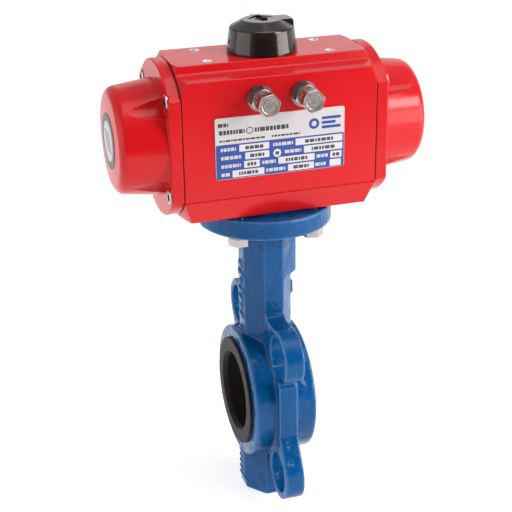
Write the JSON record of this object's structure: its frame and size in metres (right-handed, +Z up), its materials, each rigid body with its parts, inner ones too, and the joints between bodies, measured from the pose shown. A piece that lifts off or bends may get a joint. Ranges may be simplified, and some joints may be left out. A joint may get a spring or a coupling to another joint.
{
  "type": "rotary pneumatic actuator",
  "caption": "Quarter-turn rack-and-pinion pneumatic actuator with spring return, bolted on a wafer butterfly valve with a rubber liner.",
  "frame": {"origin": "where the pipe axis crosses the stem axis, in the middle of the valve ring", "axes": "+X along the pipe axis and the actuator's cylinder, +Z up along the stem to the position indicator, -Y towards the nameplate and stop screws"},
  "size_m": [0.2028, 0.1262, 0.3387],
  "materials": {
    "red_coating": "gloss powder coat on cast aluminium",
    "blue_coating": "gloss epoxy coat on cast iron",
    "plate_print": "printed aluminium plate",
    "label_print": "printed label",
    "black_rubber": "moulded",
    "stainless": "turned and pressed stainless",
    "spring_steel": "phosphated wire",
    "cast_aluminium": "machined casting",
    "guide_plastic": "moulded acetal",
    "bronze": "sintered bronze",
    "plated_steel": "nickel-plated steel",
    "black_plastic": "gloss moulding",
    "pale_plastic": "gloss moulding"
  },
  "bodies": {
    "housing": {"actuator_body": "red_coating", "nameplate": "plate_print", "left_end_cap": "red_coating", "left_cap_gasket": "black_rubber", "left_cap_screws": "stainless", "left_end_label": "label_print", "left_springs": "spring_steel", "left_spring_seats": "guide_plastic", "right_end_cap": "red_coating", "right_cap_gasket": "black_rubber", "right_cap_screws": "stainless", "right_end_label": "label_print", "right_springs": "spring_steel", "right_spring_seats": "guide_plastic", "pinion_bottom_bush": "guide_plastic", "pinion_top_bush": "guide_plastic", "thrust_washer": "stainless", "open_stop_nut": "stainless", "open_stop_washer": "stainless", "close_stop_nut": "stainless", "close_stop_washer": "stainless", "valve_body": "blue_coating", "valve_liner": "black_rubber", "stem_top_bush": "bronze", "stem_bottom_bush": "bronze", "bottom_plug": "stainless", "flange_bolts": "stainless", "flange_washers": "spring_steel"},
    "drive": {"pinion": "plated_steel", "stop_cam": "plated_steel", "pinion_bottom_seal": "black_rubber", "pinion_top_seal": "black_rubber", "snap_ring": "stainless", "indicator_cap": "black_plastic", "indicator_pointer": "pale_plastic", "indicator_screw": "stainless", "valve_disc": "stainless", "upper_stem": "stainless", "lower_stem": "stainless", "disc_pins": "stainless", "stem_seals": "black_rubber"},
    "left_piston_set": {"left_piston": "cast_aluminium", "left_piston_guide": "guide_plastic", "left_wear_ring": "guide_plastic", "left_piston_seal": "black_rubber"},
    "right_piston_set": {"right_piston": "cast_aluminium", "right_piston_guide": "guide_plastic", "right_wear_ring": "guide_plastic", "right_piston_seal": "black_rubber"},
    "open_stop": {"open_stop_screw": "stainless"},
    "close_stop": {"close_stop_screw": "stainless"}
  },
  "joints": [
    {"name": "pinion_turn", "type": "hinge", "parent": "housing", "child": "drive", "pos_m": [0, 0, 0], "axis": [0, 0, 1], "range_deg": [0, 90], "stiffness_Nm_per_rad": 8, "springref_deg": -60.16},
    {"name": "left_piston_slide", "type": "slide", "parent": "housing", "child": "left_piston_set", "axis": [-1, 0, 0], "range_m": [0, 0.0189], "deforming": ["left_springs"]},
    {"name": "right_piston_slide", "type": "slide", "parent": "housing", "child": "right_piston_set", "axis": [1, 0, 0], "range_m": [0, 0.0189], "deforming": ["right_springs"]},
    {"name": "open_stop_slide", "type": "slide", "parent": "housing", "child": "open_stop", "axis": [0, -1, 0], "range_m": [0, 0.003]},
    {"name": "close_stop_slide", "type": "slide", "parent": "housing", "child": "close_stop", "axis": [0, -1, 0], "range_m": [0, 0.003]}
  ],
  "couplings": [
    {"joint": "left_piston_slide", "follows": "pinion_turn", "m_per_rad": 0.012},
    {"joint": "right_piston_slide", "follows": "pinion_turn", "m_per_rad": 0.012}
  ]
}
